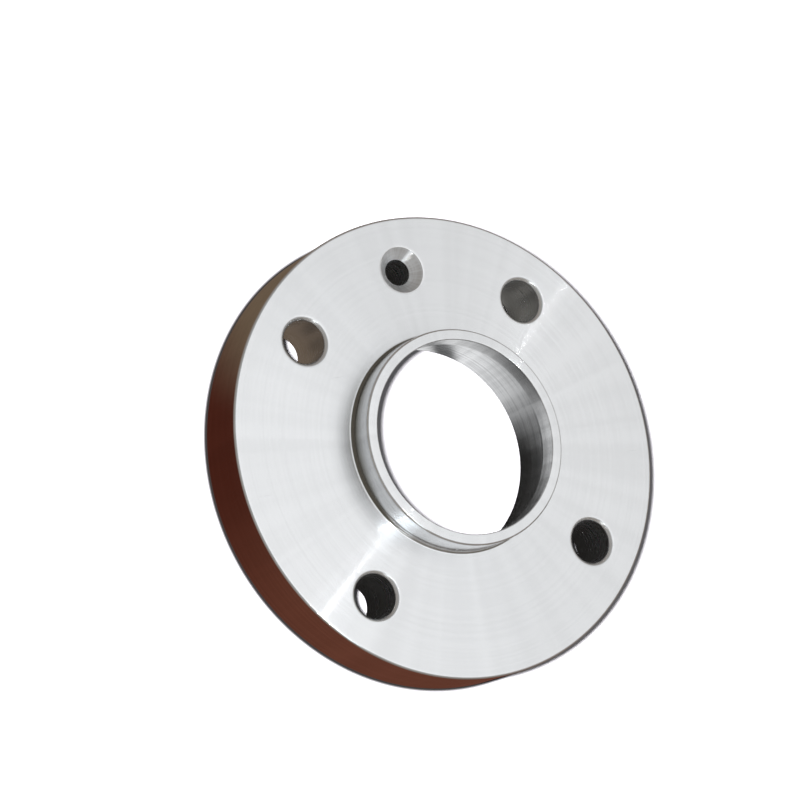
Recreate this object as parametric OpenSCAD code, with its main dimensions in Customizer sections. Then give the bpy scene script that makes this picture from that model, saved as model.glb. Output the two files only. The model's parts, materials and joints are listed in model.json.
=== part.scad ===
// Hub-centric wheel spacer: a turned disc that goes between a car's wheel hub and its wheel.
// The disc lies on its hub-side face, with the axis along +Z and the wheel-side ring on top.
// All sizes are in millimetres.

/* [Disc] */
// Outside diameter of the disc
disc_d = 140; // [134:1:180]
// Thickness of the disc between its hub-side and wheel-side faces
disc_t = 20; // [14:1:40]
// Chamfer round the outer edge of both faces
disc_chamfer = 0.5; // [0.3:0.1:3]

/* [Hub fit] */
// Diameter of the hub spigot, and of the centre hole of the wheel that goes on the ring
hub_d = 65.1; // [56:0.1:74]
// Diametral clearance of the bore on the hub spigot, and of the ring in the wheel
hub_clearance = 0.1; // [0.05:0.01:0.3]
// Lead-in chamfer at the mouth of the hub bore, on the hub-side face
hub_chamfer = 4.2; // [0.5:0.1:6]

/* [Ring] */
// Height of the ring above the wheel-side face
ring_h = 9.3; // [6:0.1:16]
// Wall of the ring at its top
ring_wall = 3.3; // [2.5:0.1:5]
// Lead-in chamfer round the ring's outer top edge
ring_chamfer = 0.45; // [0.2:0.05:1.5]
// Fillet between the ring and the wheel-side face
ring_fillet = 1.2; // [0.4:0.1:2.5]
// Edge break round the ring's inner top edge
ring_edge = 0.2; // [0.1:0.05:0.6]
// Length of the lip inside the ring, from the ring's top down to the flare
lip_h = 5.7; // [3:0.1:6]
// Half angle of the flare from the lip out to the hub bore
flare_angle = 30; // [20:1:35]

/* [Wheel bolts] */
// Diameter of the bolt circle
bolt_circle_d = 108; // [100:0.1:114]
// Number of bolt holes
bolt_count = 4; // [3:1:6]
// Diameter of each bolt hole
bolt_hole_d = 13; // [10:0.1:15]
// Chamfer at both mouths of each bolt hole
bolt_chamfer = 0.85; // [0.3:0.05:1.5]

/* [Locating screw] */
// Diameter of the circle that the locating screw lies on
screw_circle_d = 108; // [100:0.1:114]
// Diameter of the screw's clearance hole
screw_hole_d = 8; // [5:0.1:9]
// Diameter of the countersink at the wheel-side face
screw_head_d = 14.2; // [11:0.1:16]
// Included angle of the countersink
screw_cone = 90; // [80:1:100]
// Edge break where the screw hole leaves the hub-side face
screw_edge = 0.4; // [0.2:0.1:1]

/* [Hidden] */
$fn = 180;
// Run-out of the cutting tools past a face
overcut = 1;
aluminium = [0.83, 0.84, 0.85];
disc_r = disc_d / 2;
bore_r = (hub_d + hub_clearance) / 2;
ring_r = (hub_d - hub_clearance) / 2;
lip_r = ring_r - ring_wall;
ring_top = disc_t + ring_h;
flare_top = ring_top - lip_h;
flare_foot = flare_top - (bore_r - lip_r) / tan(flare_angle);
// The screw lies on +Y, midway between two bolt holes.
screw_at = 90;
bolt_step = 360 / bolt_count;

// Half section of the turned body, with the radius along X and the height along Y.
module turned_section() {
    polygon([
        [bore_r + hub_chamfer, 0],
        [disc_r - disc_chamfer, 0],
        [disc_r, disc_chamfer],
        [disc_r, disc_t - disc_chamfer],
        [disc_r - disc_chamfer, disc_t],
        [ring_r, disc_t],
        [ring_r, ring_top - ring_chamfer],
        [ring_r - ring_chamfer, ring_top],
        [lip_r + ring_edge, ring_top],
        [lip_r, ring_top - ring_edge],
        [lip_r, flare_top],
        [bore_r, flare_foot],
        [bore_r, hub_chamfer],
    ]);
    translate([ring_r, disc_t])
        root_fillet();
}

// Concave fillet in the corner between the ring's wall and the wheel-side face.
module root_fillet() {
    difference() {
        square(ring_fillet);
        translate([ring_fillet, ring_fillet])
            circle(ring_fillet);
    }
}

// Puts its children on a circle of the given diameter, at the given angle from +X.
module on_circle(d, angle) {
    rotate(angle)
        translate([d / 2, 0, 0])
            children();
}

// Cone that opens upwards from a hole to its mouth at z = 0, and runs on past the face at the same slope.
module mouth_cone(hole_d, depth, half_angle) {
    translate([0, 0, -depth])
        cylinder(
            h = depth + overcut,
            d1 = hole_d,
            d2 = hole_d + 2 * (depth + overcut) * tan(half_angle)
        );
}

// Hole right through the disc.
module through_hole(d) {
    translate([0, 0, -overcut])
        cylinder(h = disc_t + 2 * overcut, d = d);
}

module bolt_hole() {
    through_hole(bolt_hole_d);
    translate([0, 0, disc_t])
        mouth_cone(bolt_hole_d, bolt_chamfer, 45);
    mirror([0, 0, 1])
        mouth_cone(bolt_hole_d, bolt_chamfer, 45);
}

module screw_hole() {
    countersink_depth = (screw_head_d - screw_hole_d) / 2 / tan(screw_cone / 2);
    through_hole(screw_hole_d);
    translate([0, 0, disc_t])
        mouth_cone(screw_hole_d, countersink_depth, screw_cone / 2);
    mirror([0, 0, 1])
        mouth_cone(screw_hole_d, screw_edge, 45);
}

module wheel_spacer() {
    color(aluminium)
        difference() {
            rotate_extrude()
                turned_section();
            for (i = [0 : bolt_count - 1])
                on_circle(bolt_circle_d, screw_at + (i + 0.5) * bolt_step)
                    bolt_hole();
            on_circle(screw_circle_d, screw_at)
                screw_hole();
        }
}

wheel_spacer();
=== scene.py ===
import json
import math

import bmesh
import bpy
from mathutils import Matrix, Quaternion, Vector


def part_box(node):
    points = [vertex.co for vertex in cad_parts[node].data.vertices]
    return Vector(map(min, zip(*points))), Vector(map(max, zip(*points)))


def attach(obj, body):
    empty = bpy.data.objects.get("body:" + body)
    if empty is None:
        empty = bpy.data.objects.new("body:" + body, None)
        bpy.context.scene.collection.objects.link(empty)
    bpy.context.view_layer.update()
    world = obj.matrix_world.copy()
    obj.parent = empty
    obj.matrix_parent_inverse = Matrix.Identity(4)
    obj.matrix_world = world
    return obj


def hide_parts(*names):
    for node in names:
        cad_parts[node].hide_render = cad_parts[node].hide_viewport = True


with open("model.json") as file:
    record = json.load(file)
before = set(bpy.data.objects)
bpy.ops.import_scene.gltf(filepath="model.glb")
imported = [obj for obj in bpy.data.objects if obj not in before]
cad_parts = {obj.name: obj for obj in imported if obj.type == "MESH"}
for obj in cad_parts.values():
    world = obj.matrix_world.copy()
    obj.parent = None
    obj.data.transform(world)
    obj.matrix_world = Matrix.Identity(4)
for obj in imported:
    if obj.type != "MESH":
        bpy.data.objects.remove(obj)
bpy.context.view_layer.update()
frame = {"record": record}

# Sizes that the frame gives, in metres
MM = 0.001
NODE = "wheel_spacer"
mounts = {mount["name"]: mount for mount in frame["record"]["mounts"]}


def size_of(mount, key):
    return mounts[mount]["dims"][key] * MM


disc_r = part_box(NODE)[1].x
ring_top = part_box(NODE)[1].z
face_z = mounts["wheel_face"]["pos_m"][2]
ring_r = size_of("hub_ring", "r_mm")
lip_r = size_of("lip_bore", "r_mm")
bore_r = size_of("hub_bore", "r_mm")
bolt_r = size_of("wheel_bolts", "hole_r_mm")
bolt_circle_r = size_of("wheel_bolts", "pcd_mm") / 2
bolt_count = mounts["wheel_bolts"]["dims"]["count"]
screw_r = size_of("locating_screw", "r_mm")
screw_at = Vector(mounts["locating_screw"]["pos_m"]).to_2d()

# Chamfers, fillet and countersink of the turned part
DISC_CHAMFER = 0.5 * MM
HUB_CHAMFER = 4.2 * MM
RING_CHAMFER = 0.45 * MM
RING_FILLET = 1.2 * MM
RING_EDGE = 0.2 * MM
BOLT_CHAMFER = 0.85 * MM
SCREW_EDGE = 0.4 * MM
SCREW_HEAD_R = 7.1 * MM

flare_top = ring_top - RING_EDGE - size_of("lip_bore", "length_mm")
flare_foot = HUB_CHAMFER + size_of("hub_bore", "length_mm")

# Rounding of the sharp edges, and the steps in it
EDGE_ROUND = 0.12 * MM
EDGE_STEPS = 2
RIM_ROUND = 0.25 * MM
RIM_STEPS = 3
MOUTH_ROUND = 0.3 * MM
MOUTH_STEPS = 3
SHARP_ANGLE = math.radians(20)

# Fineness of the mesh
TURN_STEPS = 288
HOLE_STEPS = 96
FILLET_STEPS = 8
COLLAR = 0.8 * MM
TOUCH = 0.01 * MM
FLAT_WEIGHT = 100


def towards(azimuth, elevation):
    """Unit vector at that azimuth from +X and that elevation, in degrees."""
    a = math.radians(azimuth)
    e = math.radians(elevation)
    return Vector((math.cos(a) * math.cos(e), math.sin(a) * math.cos(e), math.sin(e)))


# The turned part

def bolt_places():
    """Centres of the bolt holes: the screw hole lies midway between two of them."""
    start = math.atan2(screw_at.y, screw_at.x)
    step = math.tau / bolt_count
    angles = [start + (i + 0.5) * step for i in range(bolt_count)]
    return [Vector((math.cos(angle), math.sin(angle))) * bolt_circle_r for angle in angles]


bolts_at = bolt_places()


def spin_profile(bm, profile, centre, steps):
    """Spins a chain of (radius, height) points right round an upright axis."""
    verts = [bm.verts.new((centre.x + r, centre.y, z)) for r, z in profile]
    edges = [bm.edges.new(pair) for pair in zip(verts, verts[1:])]
    bmesh.ops.spin(
        bm, geom=verts + edges, cent=centre.to_3d(), axis=(0, 0, 1),
        angle=math.tau, steps=steps, use_merge=True,
    )


def rim_profile():
    """Both outer chamfers and the rim between them, with a narrow collar of each face."""
    inner = disc_r - DISC_CHAMFER
    return [
        (inner - COLLAR, face_z),
        (inner, face_z),
        (disc_r, face_z - DISC_CHAMFER),
        (disc_r, DISC_CHAMFER),
        (inner, 0),
        (inner - COLLAR, 0),
    ]


def fillet_arc():
    """The concave arc from the wheel-side face up into the ring's wall."""
    for i in range(FILLET_STEPS + 1):
        turn = math.pi / 2 * i / FILLET_STEPS
        yield (
            ring_r + RING_FILLET * (1 - math.sin(turn)),
            face_z + RING_FILLET * (1 - math.cos(turn)),
        )


def ring_and_bore_profile():
    """From the wheel-side face over the ring and down through the lip, the flare and the hub bore."""
    mouth_r = bore_r + HUB_CHAMFER
    return [
        (ring_r + RING_FILLET + COLLAR, face_z),
        *fillet_arc(),
        (ring_r, ring_top - RING_CHAMFER),
        (ring_r - RING_CHAMFER, ring_top),
        (lip_r + RING_EDGE, ring_top),
        (lip_r, ring_top - RING_EDGE),
        (lip_r, flare_top),
        (bore_r, flare_foot),
        (bore_r, HUB_CHAMFER),
        (mouth_r, 0),
        (mouth_r + COLLAR, 0),
    ]


def hole_profile(hole_r, front_r, back_r):
    """A through hole with a 45 degree cone at each mouth, and a narrow collar of each face."""
    return [
        (front_r + COLLAR, face_z),
        (front_r, face_z),
        (hole_r, face_z - (front_r - hole_r)),
        (hole_r, back_r - hole_r),
        (back_r, 0),
        (back_r + COLLAR, 0),
    ]


def fill_face(bm, height):
    """Closes a flat face between the open edges that lie in its plane."""
    rim = [
        edge for edge in bm.edges
        if edge.is_boundary and all(abs(vert.co.z - height) < TOUCH for vert in edge.verts)
    ]
    bmesh.ops.triangle_fill(bm, use_beauty=True, edges=rim, normal=(0, 0, 1))


def on_rim(place):
    return place.to_2d().length > disc_r - DISC_CHAMFER - COLLAR


def on_bolt_mouth(place):
    """Whether a place lies at the wheel-side mouth of a bolt hole."""
    reach = bolt_r + BOLT_CHAMFER + COLLAR / 2
    return place.z > face_z / 2 and any((place.to_2d() - bolt).length < reach for bolt in bolts_at)


def on_other_edge(place):
    return not on_rim(place) and not on_bolt_mouth(place)


def round_edges(bm, offset, steps, chosen):
    """Rounds the sharp edges whose middle is one of the chosen places."""
    sharp = []
    for edge in bm.edges:
        if len(edge.link_faces) == 2 and edge.calc_face_angle() > SHARP_ANGLE:
            middle = (edge.verts[0].co + edge.verts[1].co) / 2
            if chosen(middle):
                sharp.append(edge)
    bmesh.ops.bevel(
        bm, geom=sharp, offset=offset, segments=steps, profile=0.5,
        affect="EDGES", material=-1, clamp_overlap=True,
    )


def finish_of(face):
    """Which of the machined finishes a face has, by where it lies."""
    at = face.calc_center_median()
    flat = at.to_2d()
    if (flat - screw_at).length < SCREW_HEAD_R and at.z > face_z - SCREW_HEAD_R + screw_r:
        return "countersunk"
    if any((flat - place).length < bolt_r + BOLT_CHAMFER for place in [*bolts_at, screw_at]):
        return "drilled"
    if abs(face.normal.z) > math.cos(SHARP_ANGLE):
        return "faced"
    return "turned" if face.normal.to_2d().dot(flat) > 0 else "bored"


def make_spacer(finishes):
    """The whole part in one mesh, with the finish of each surface."""
    bm = bmesh.new()
    axis = Vector((0, 0))
    spin_profile(bm, rim_profile(), axis, TURN_STEPS)
    spin_profile(bm, ring_and_bore_profile(), axis, TURN_STEPS)
    mouth_r = bolt_r + BOLT_CHAMFER
    for place in bolts_at:
        spin_profile(bm, hole_profile(bolt_r, mouth_r, mouth_r), place, HOLE_STEPS)
    spin_profile(bm, hole_profile(screw_r, SCREW_HEAD_R, screw_r + SCREW_EDGE), screw_at, HOLE_STEPS)
    bmesh.ops.remove_doubles(bm, verts=bm.verts, dist=TOUCH)
    round_edges(bm, RIM_ROUND, RIM_STEPS, on_rim)
    round_edges(bm, MOUTH_ROUND, MOUTH_STEPS, on_bolt_mouth)
    round_edges(bm, EDGE_ROUND, EDGE_STEPS, on_other_edge)
    fill_face(bm, face_z)
    fill_face(bm, 0)
    bmesh.ops.recalc_face_normals(bm, faces=bm.faces)
    names = list(finishes)
    for face in bm.faces:
        face.smooth = True
        face.material_index = names.index(finish_of(face))
    mesh = bpy.data.meshes.new("spacer")
    bm.to_mesh(mesh)
    bm.free()
    for material in finishes.values():
        mesh.materials.append(material)
    spacer = bpy.data.objects.new("spacer", mesh)
    bpy.context.collection.objects.link(spacer)
    even = spacer.modifiers.new("flat_faces_stay_flat", "WEIGHTED_NORMAL")
    even.weight = FLAT_WEIGHT
    return spacer


# Nodes

def give(tree, value, socket):
    """Gives an input its value: the output of another node, or a number or vector."""
    if isinstance(value, bpy.types.NodeSocket):
        tree.links.new(value, socket)
    else:
        socket.default_value = value


def node(tree, kind, inputs=None, **settings):
    """A new node with its settings and the values of its inputs."""
    made = tree.nodes.new(kind)
    for key, value in settings.items():
        setattr(made, key, value)
    for key, value in (inputs or {}).items():
        give(tree, value, made.inputs[key])
    return made


def math_node(tree, operation, first, second):
    """A Math node on two values, each a socket or a number."""
    return node(tree, "ShaderNodeMath", {0: first, 1: second}, operation=operation).outputs[0]


def vector_node(tree, operation, *vectors):
    """A Vector Math node that makes a vector from others, each a socket or a vector."""
    inputs = dict(enumerate(vectors))
    return node(tree, "ShaderNodeVectorMath", inputs, operation=operation).outputs["Vector"]


def measure_node(tree, operation, *vectors):
    """A Vector Math node that makes a number from vectors, each a socket or a vector."""
    inputs = dict(enumerate(vectors))
    return node(tree, "ShaderNodeVectorMath", inputs, operation=operation).outputs["Value"]


def split_node(tree, place):
    """The X, Y and Z of a place."""
    return node(tree, "ShaderNodeSeparateXYZ", {0: place}).outputs


def noise(tree, place, scale, detail):
    """Smooth noise over a place."""
    inputs = {"Vector": place, "Scale": scale, "Detail": detail}
    return node(tree, "ShaderNodeTexNoise", inputs).outputs["Fac"]


def band(tree, value, start, end):
    """Rises smoothly from 0 to 1 while a value goes from start to end."""
    inputs = {"Value": value, "From Min": start, "From Max": end}
    return node(tree, "ShaderNodeMapRange", inputs, interpolation_type="SMOOTHSTEP").outputs["Result"]


def ramp_up(tree, value, start, end, low=0, high=1):
    """Rises evenly from low to high while a value goes from start to end."""
    inputs = {"Value": value, "From Min": start, "From Max": end, "To Min": low, "To Max": high}
    return node(tree, "ShaderNodeMapRange", inputs).outputs["Result"]


def about_middle(tree, value, spread):
    """Turns noise about one half into a change about nothing, over that spread."""
    return math_node(tree, "MULTIPLY", math_node(tree, "SUBTRACT", value, 0.5), spread)


def blend(tree, factor, first, second):
    """From the first colour to the second, each a socket or a colour."""
    start, end = [(*value, 1) if isinstance(value, tuple) else value for value in (first, second)]
    inputs = {"Factor": factor, "A": start, "B": end}
    return node(tree, "ShaderNodeMix", inputs, data_type="RGBA").outputs["Result"]


def mix_shaders(tree, factor, first, second):
    return node(tree, "ShaderNodeMixShader", {0: factor, 1: first, 2: second}).outputs[0]


def new_group(name, inputs, outputs):
    """An empty node group, with the sockets that its nodes read and those that they put out."""
    tree = bpy.data.node_groups.new(name, "ShaderNodeTree")
    for title, kind in inputs.items():
        tree.interface.new_socket(title, in_out="INPUT", socket_type=kind)
    for title, kind in outputs.items():
        tree.interface.new_socket(title, in_out="OUTPUT", socket_type=kind)
    return tree, node(tree, "NodeGroupInput").outputs, node(tree, "NodeGroupOutput").inputs


def group_node(tree, group, inputs):
    return node(tree, "ShaderNodeGroup", inputs, node_tree=group).outputs


# Marks on the metal

OUTWARD = (1, 1, 0)
UPWARD = (0, 0, 1)
NOWHERE = (0, 0, 0)
LINE_DETAIL = 2
LINE_GRAIN = 0.6
LINE_CHANGE = 0.4
SWEEP_SCALE = 9
SWEEP_DETAIL = 4
GLINT_RANGE = (0.38, 0.62)
SMEAR_SCALE = 22
SMEAR_DETAIL = 3
SCRATCH_TURN = (0.3, 0.2, 0.9)
SCRATCH_STRETCH = (60, 2600, 60)
SCRATCH_RANGE = (0.76, 0.86)


def tool_marks_group():
    """Marks of a cutting tool. Lines lie one after another along its feed, out from the axis where Spun is 1
    and up it where Spun is 0. Glints also change slowly round the axis, as brushed metal does."""
    tree, given, out = new_group(
        "tool_marks",
        {"Place": "NodeSocketVector", "Pitch": "NodeSocketFloat", "Spun": "NodeSocketFloat"},
        {"Lines": "NodeSocketFloat", "Glints": "NodeSocketFloat"},
    )
    outward = vector_node(tree, "MULTIPLY", given["Place"], OUTWARD)
    far = measure_node(tree, "LENGTH", outward)
    height = split_node(tree, given["Place"])["Z"]
    feed = node(tree, "ShaderNodeMix", {"Factor": given["Spun"], "A": height, "B": far}, data_type="FLOAT")
    step = math_node(tree, "DIVIDE", feed.outputs["Result"], given["Pitch"])

    around = vector_node(tree, "NORMALIZE", outward)
    slowly = vector_node(tree, "MULTIPLY", around, (LINE_CHANGE, LINE_CHANGE, LINE_CHANGE))
    line_noise = {"Vector": slowly, "W": step, "Scale": 1, "Detail": LINE_DETAIL, "Roughness": LINE_GRAIN}
    lines = node(tree, "ShaderNodeTexNoise", line_noise, noise_dimensions="4D").outputs["Fac"]
    give(tree, lines, out["Lines"])

    sweep = noise(tree, around, SWEEP_SCALE, SWEEP_DETAIL)
    average = math_node(tree, "MULTIPLY", math_node(tree, "ADD", lines, sweep), 0.5)
    give(tree, band(tree, average, *GLINT_RANGE), out["Glints"])
    return tree


def handling_group():
    """Smears and hairline scratches from handling."""
    tree, given, out = new_group(
        "handling",
        {"Place": "NodeSocketVector"},
        {"Smears": "NodeSocketFloat", "Scratches": "NodeSocketFloat"},
    )
    give(tree, noise(tree, given["Place"], SMEAR_SCALE, SMEAR_DETAIL), out["Smears"])
    stretch = {"Vector": given["Place"], "Rotation": SCRATCH_TURN, "Scale": SCRATCH_STRETCH}
    stretched = node(tree, "ShaderNodeMapping", stretch).outputs["Vector"]
    hairs = noise(tree, stretched, scale=1, detail=1)
    give(tree, ramp_up(tree, hairs, *SCRATCH_RANGE), out["Scratches"])
    return tree


tool_marks = tool_marks_group()
handling = handling_group()

# Bare metal

METAL_DULL = (0.775, 0.787, 0.80)
METAL_BRIGHT = (0.885, 0.898, 0.913)
# How far smears, lines and scratches change the roughness
SMEAR_SPREAD = 0.12
LINE_SPREAD = 0.07
SCRATCH_SPREAD = 0.06
# The second, narrower reflection of a face
STREAK_SHARE = 0.16
STREAK_ROUGHNESS = 0.2
STREAK_STRETCH = -0.9
# Painted shade in the ring's root, which climbs the ring's wall on one side
ROOT_SHADE_COLOUR = (0.22, 0.21, 0.18)
CORNER_SIDE = 158
CORNER_HEAVY = (0.5 * ring_r, 0.95 * ring_r)
CORNER_LOW = 0.5 * MM
CORNER_RISE = 7 * MM
CORNER_FADE = (1, 0.1)
CORNER_FOOT = (ring_r + RING_FILLET, ring_r + RING_FILLET / 2)


def root_painted_shade(tree, place):
    """How much painted shade a place in the ring's root or on the ring's wall has: heavier on one side,
    where it climbs the wall.
    """
    outward = vector_node(tree, "MULTIPLY", place, OUTWARD)
    side = measure_node(tree, "DOT_PRODUCT", outward, towards(CORNER_SIDE, 0))
    heavy = band(tree, side, *CORNER_HEAVY)
    reach = math_node(tree, "ADD", math_node(tree, "MULTIPLY", heavy, CORNER_RISE), CORNER_LOW)
    above = math_node(tree, "SUBTRACT", split_node(tree, place)["Z"], face_z)
    near_ring = band(tree, measure_node(tree, "LENGTH", outward), *CORNER_FOOT)
    low_down = band(tree, math_node(tree, "DIVIDE", above, reach), *CORNER_FADE)
    return math_node(tree, "MULTIPLY", near_ring, low_down)


def bare_aluminium(
    name, feed, pitch, depth, roughness, anisotropy, dull=METAL_DULL, axis=(0, 0), root_shaded=False,
):
    """Machined aluminium: feed is the way the tool went, RADIUS across a face or HEIGHT up a wall."""
    material = bpy.data.materials.new(name)
    material.use_nodes = True
    tree = material.node_tree
    shader = tree.nodes["Principled BSDF"]
    shader.inputs["Metallic"].default_value = 1
    shader.inputs["Anisotropic"].default_value = anisotropy

    spun = feed == "RADIUS"
    place = vector_node(tree, "SUBTRACT", node(tree, "ShaderNodeTexCoord").outputs["Object"], (*axis, 0))
    kept, added = (OUTWARD, NOWHERE) if spun else (NOWHERE, UPWARD)
    across = vector_node(tree, "MULTIPLY_ADD", place, kept, added)
    give(tree, across, shader.inputs["Tangent"])

    marks = group_node(tree, tool_marks, {"Place": place, "Pitch": pitch, "Spun": 1 if spun else 0})
    touched = group_node(tree, handling, {"Place": place})
    scratched = math_node(tree, "MULTIPLY", touched["Scratches"], SCRATCH_SPREAD)
    rough = math_node(tree, "ADD", scratched, roughness)
    rough = math_node(tree, "ADD", rough, about_middle(tree, touched["Smears"], SMEAR_SPREAD))
    rough = math_node(tree, "ADD", rough, about_middle(tree, marks["Lines"], LINE_SPREAD))
    give(tree, rough, shader.inputs["Roughness"])

    tone = blend(tree, marks["Glints"], dull, METAL_BRIGHT)
    # Painted shade: the tone darkens in the ring's root, more on one side
    if root_shaded:
        tone = blend(tree, root_painted_shade(tree, place), tone, ROOT_SHADE_COLOUR)
    give(tree, tone, shader.inputs["Base Color"])

    relief = node(tree, "ShaderNodeBump", {"Strength": 1, "Distance": depth, "Height": marks["Lines"]})
    give(tree, relief.outputs["Normal"], shader.inputs["Normal"])

    if spun:
        streak = {
            "Color": tone, "Roughness": STREAK_ROUGHNESS, "Anisotropy": STREAK_STRETCH, "Tangent": across,
        }
        brushed = node(tree, "ShaderNodeBsdfAnisotropic", streak, distribution="GGX")
        both = mix_shaders(tree, STREAK_SHARE, shader.outputs[0], brushed.outputs[0])
        give(tree, both, tree.nodes["Material Output"].inputs["Surface"])
    return material


finishes = {
    "faced": bare_aluminium(
        "faced", "RADIUS", pitch=1.2 * MM, depth=0.00004 * MM,
        roughness=0.22, anisotropy=1.0, dull=(0.83, 0.842, 0.856),
    ),
    "turned": bare_aluminium(
        "turned", "HEIGHT", pitch=0.8 * MM, depth=0.001 * MM,
        roughness=0.17, anisotropy=0.7, root_shaded=True,
    ),
    "bored": bare_aluminium(
        "bored", "HEIGHT", pitch=0.4 * MM, depth=0.004 * MM,
        roughness=0.22, anisotropy=0.8, dull=(0.62, 0.63, 0.64),
    ),
    "drilled": bare_aluminium(
        "drilled", "HEIGHT", pitch=0.9 * MM, depth=0.0003 * MM,
        roughness=0.26, anisotropy=0.4, dull=(0.81, 0.81, 0.81),
    ),
    "countersunk": bare_aluminium(
        "countersunk", "HEIGHT", pitch=0.6 * MM, depth=0.0002 * MM,
        roughness=0.3, anisotropy=0.9, dull=(0.71, 0.71, 0.71), axis=screw_at,
    ),
}
spacer = make_spacer(finishes)
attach(spacer, "root")
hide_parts(NODE)

# Floor

FLOOR_R = 4
FLOOR_SIDES = 96
# What the eye sees, by the distance from the axis: greyer near the part as painted shade that deepens its
# shadow, and a painted shadow in the gap at its foot
FLOOR_PALE = (0.85, 0.85, 0.85)
FLOOR_NEAR_SHADE = (0.2, 0.196, 0.206)
FLOOR_FOOT_SHADOW = (0.007, 0.0062, 0.006)
FOOT_UNDER = (disc_r - 5 * MM, disc_r - 2 * MM)
FOOT_BESIDE = (disc_r + 1.3 * MM, disc_r + 0.2 * MM)
PALE_OUT = (disc_r + 20 * MM, 0.3)
WHITE_OUT = (0.35, 0.9)
# Painted reflection, a glow that only the metal mirrors: a table beside the part, by the place along X and Y
TABLE_BROWN = (0.064, 0.0145, 0.008)
TABLE_FRONT = (0.128, 0.042, 0.025)
TABLE_TAN = (0.148, 0.103, 0.066)
TABLE_SIDE = (0.155, 0.128, 0.112)
TABLE_FAR = (0.2, 0.165, 0.145)
FRONT_Y = (10 * MM, -55 * MM)
TAN_Y = (28 * MM, 60 * MM)
SIDE_X = (15 * MM, 60 * MM)
BESIDE_OUT = (disc_r - 4 * MM, disc_r)
FAR_OUT = (disc_r + 15 * MM, disc_r + 38 * MM)
# Painted reflection that only the metal mirrors: painted shade under the part, with painted light where
# light comes in
SHADE_DARK = (0.0145, 0.0135, 0.0125)
SHADE_WARM = (0.15, 0.113, 0.083)
SHADE_GREY = (0.142, 0.137, 0.126)
GREY_X = (-15 * MM, 15 * MM)
OPEN_Y = (-10 * MM, 30 * MM)
DISC_OUT = (33 * MM, 42 * MM)
SCREW_OUT = (5 * MM, 9 * MM)
PATCH_SCALE = 110
PATCH_DETAIL = 1
PATCH_RANGE = (0.4, 0.62)
PATCH_SHARE = 0.6
# Light under the bore: the level that it changes to between two angles from +X
BORE_LIGHT = [(-8, 38, 0.9), (47, 54, 0.13), (60, 67, 0.85)]


def seen_floor(tree, far):
    """Colour to the eye: pale far off, greyer near the part as painted shade that deepens the part's shadow,
    and a painted shadow dark in the narrow gap at its foot.
    """
    # Painted shadow in the narrow gap at the part's foot
    foot = math_node(tree, "MULTIPLY", band(tree, far, *FOOT_UNDER), band(tree, far, *FOOT_BESIDE))
    # Greyer near the part: painted shade that deepens the part's shadow there
    colour = blend(tree, band(tree, far, *PALE_OUT), FLOOR_NEAR_SHADE, FLOOR_PALE)
    return blend(tree, foot, colour, FLOOR_FOOT_SHADOW)


def painted_floor_reflection(tree, place, far):
    """Painted reflection in the metal: painted shade with painted light patches under the bore, painted
    shade under the disc, then the table.
    """
    parts = split_node(tree, place)
    turn = math_node(tree, "ARCTAN2", parts["Y"], parts["X"])
    under_bore = SHADE_DARK
    for start, end, level in BORE_LIGHT:
        part = band(tree, turn, math.radians(start), math.radians(end))
        under_bore = blend(tree, part, under_bore, (level, level, level))

    under_disc = blend(tree, band(tree, parts["X"], *GREY_X), SHADE_WARM, SHADE_GREY)
    patches = band(tree, noise(tree, place, PATCH_SCALE, PATCH_DETAIL), *PATCH_RANGE)
    under_disc = blend(tree, math_node(tree, "MULTIPLY", patches, PATCH_SHARE), under_disc, SHADE_DARK)
    under_disc = blend(tree, band(tree, parts["Y"], *OPEN_Y), SHADE_DARK, under_disc)
    off_screw = measure_node(tree, "DISTANCE", place, screw_at.to_3d())
    under_disc = blend(tree, band(tree, off_screw, *SCREW_OUT), SHADE_DARK, under_disc)

    beside = blend(tree, band(tree, parts["Y"], *FRONT_Y), TABLE_BROWN, TABLE_FRONT)
    beside = blend(tree, band(tree, parts["Y"], *TAN_Y), beside, TABLE_TAN)
    beside = blend(tree, band(tree, parts["X"], *SIDE_X), beside, TABLE_SIDE)

    colour = blend(tree, band(tree, far, *DISC_OUT), under_bore, under_disc)
    colour = blend(tree, band(tree, far, *BESIDE_OUT), colour, beside)
    return blend(tree, band(tree, far, *FAR_OUT), colour, TABLE_FAR)


def floor_material():
    """Pale to the eye, with the part's shadow on it, and quite white to the camera far off. In the metal it
    glows with a painted reflection of a brown table in its place, with painted shade of the part on it."""
    material = bpy.data.materials.new("floor")
    material.use_nodes = True
    tree = material.node_tree
    tree.nodes.remove(tree.nodes["Principled BSDF"])
    path = node(tree, "ShaderNodeLightPath").outputs
    place = node(tree, "ShaderNodeTexCoord").outputs["Object"]
    far = measure_node(tree, "LENGTH", place)

    pale = node(tree, "ShaderNodeBsdfDiffuse", {"Color": seen_floor(tree, far)})
    white = node(tree, "ShaderNodeEmission")
    # Painted reflection: a glow that only reflections see, standing for a brown table and the part's shade
    table = node(tree, "ShaderNodeEmission", {"Color": painted_floor_reflection(tree, place, far)})
    far_off = math_node(tree, "MULTIPLY", path["Is Camera Ray"], band(tree, far, *WHITE_OUT))
    seen = mix_shaders(tree, far_off, pale.outputs[0], white.outputs[0])
    both = mix_shaders(tree, path["Is Glossy Ray"], seen, table.outputs[0])
    give(tree, both, tree.nodes["Material Output"].inputs["Surface"])
    return material


def make_floor():
    bm = bmesh.new()
    bmesh.ops.create_circle(bm, cap_ends=True, segments=FLOOR_SIDES, radius=FLOOR_R)
    mesh = bpy.data.meshes.new("floor")
    bm.to_mesh(mesh)
    bm.free()
    mesh.materials.append(floor_material())
    floor = bpy.data.objects.new("floor", mesh)
    bpy.context.collection.objects.link(floor)


make_floor()

# Light

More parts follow.
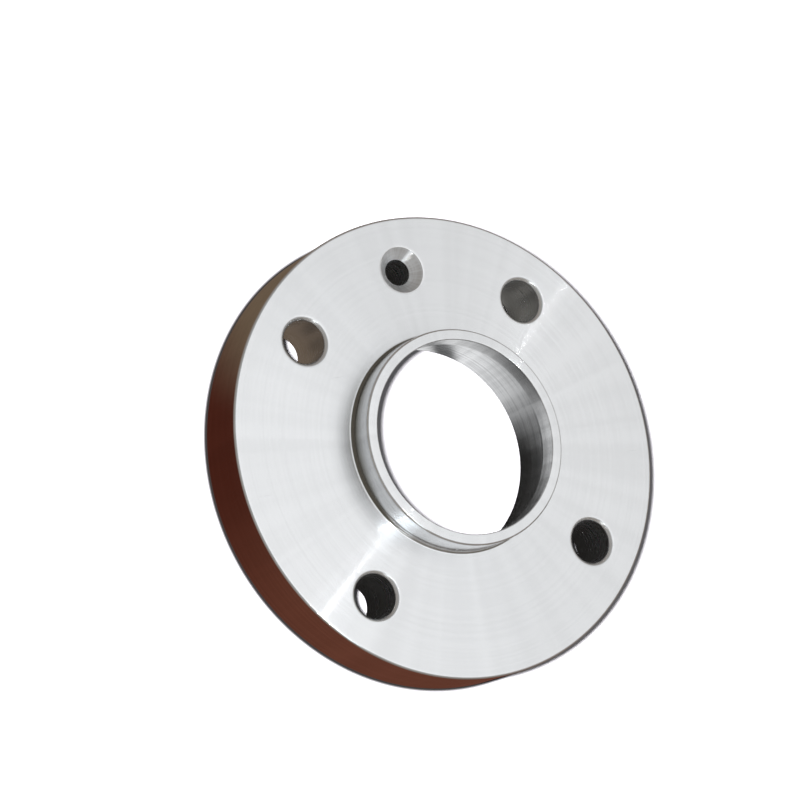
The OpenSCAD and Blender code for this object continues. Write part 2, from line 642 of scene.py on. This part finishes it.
# Colours of the sky by the height of the way to them
SKY = [
    (0, (0.24, 0.2, 0.175)),
    (0.45, (0.36, 0.345, 0.32)),
    (0.85, (0.345, 0.35, 0.355)),
    (1, (0.4, 0.4, 0.4)),
]
SCREEN_AT = (-24, 77)
SCREEN_SPREAD = 47
SCREEN_LEVEL = 0.785
UNEVEN_SCALE = 7
UNEVEN_DETAIL = 2
UNEVEN_RANGE = (0.3, 0.7)
UNEVEN_LEVELS = (0.88, 1.1)
WINDOW_HEIGHT = 0.95
WINDOW_COOL = (0.88, 0.96, 1)


def dome():
    """Sky of a plain studio: darker and warm low down, paler above, and a broad screen near the top."""
    world = bpy.data.worlds.new("dome")
    bpy.context.scene.world = world
    world.use_nodes = True
    tree = world.node_tree
    way = node(tree, "ShaderNodeTexCoord").outputs["Generated"]
    ramp = node(tree, "ShaderNodeValToRGB", {0: split_node(tree, way)["Z"]})
    stops = ramp.color_ramp.elements
    for height, colour in SKY[1:-1]:
        stops.new(height)
    for stop, (height, colour) in zip(stops, SKY):
        stop.position = height
        stop.color = (*colour, 1)

    facing = measure_node(tree, "DOT_PRODUCT", way, towards(*SCREEN_AT))
    screen = band(tree, facing, math.cos(math.radians(SCREEN_SPREAD)), 1)
    screen = math_node(tree, "MULTIPLY", screen, SCREEN_LEVEL)
    uneven = noise(tree, way, UNEVEN_SCALE, UNEVEN_DETAIL)
    back = tree.nodes["Background"].inputs
    give(tree, vector_node(tree, "ADD", ramp.outputs[0], screen), back["Color"])
    give(tree, ramp_up(tree, uneven, *UNEVEN_RANGE, *UNEVEN_LEVELS), back["Strength"])


def soft_box(name, azimuth, elevation, distance, width, power):
    """A round lamp that faces the origin from that way and distance."""
    lamp = bpy.data.lights.new(name, "AREA")
    lamp.shape = "DISK"
    lamp.size = width
    lamp.energy = power
    box = bpy.data.objects.new(name, lamp)
    box.location = towards(azimuth, elevation) * distance
    box.rotation_euler = box.location.to_track_quat("Z", "Y").to_euler()
    bpy.context.collection.objects.link(box)
    return box


dome()

# A spot and a tall window show only in the metal, as bright streaks
spot = soft_box("spot", azimuth=-119, elevation=59, distance=1.3, width=0.045, power=0.95)
spot.visible_diffuse = False
window = soft_box("window", azimuth=-116, elevation=47, distance=1.35, width=0.2, power=0.92)
window.data.shape = "RECTANGLE"
window.data.size_y = WINDOW_HEIGHT
window.data.color = WINDOW_COOL
window.visible_diffuse = False

# Camera

CAMERA_AZIMUTH = -166.46
CAMERA_ELEVATION = 58.75
CAMERA_ROLL = -62.51
CAMERA_DISTANCE = 710.7 * MM
CAMERA_LENS = 109.0
CAMERA_SENSOR = 36
AIM = Vector((-12.98 * MM, 15.71 * MM, face_z))

camera = bpy.data.objects.new("camera", bpy.data.cameras.new("camera"))
bpy.context.collection.objects.link(camera)
camera.data.lens = CAMERA_LENS
camera.data.sensor_width = CAMERA_SENSOR
away = towards(CAMERA_AZIMUTH, CAMERA_ELEVATION)
camera.location = AIM + away * CAMERA_DISTANCE
upright = away.to_track_quat("Z", "Y")
camera.rotation_mode = "QUATERNION"
camera.rotation_quaternion = Quaternion(away, -math.radians(CAMERA_ROLL)) @ upright
bpy.context.scene.camera = camera

# A flash beside the camera lights only the floor: the part hides its own shadow but for a thin edge
FLASH_SIDE = Vector((-0.036, 0.014, 0))
FLASH_WIDTH = 0.04
FLASH_POWER = 46
flash = soft_box("flash", CAMERA_AZIMUTH, CAMERA_ELEVATION, CAMERA_DISTANCE, FLASH_WIDTH, FLASH_POWER)
flash.location = camera.location + camera.rotation_quaternion @ FLASH_SIDE
flash.visible_glossy = False

bpy.context.scene.view_settings.view_transform = "Standard"
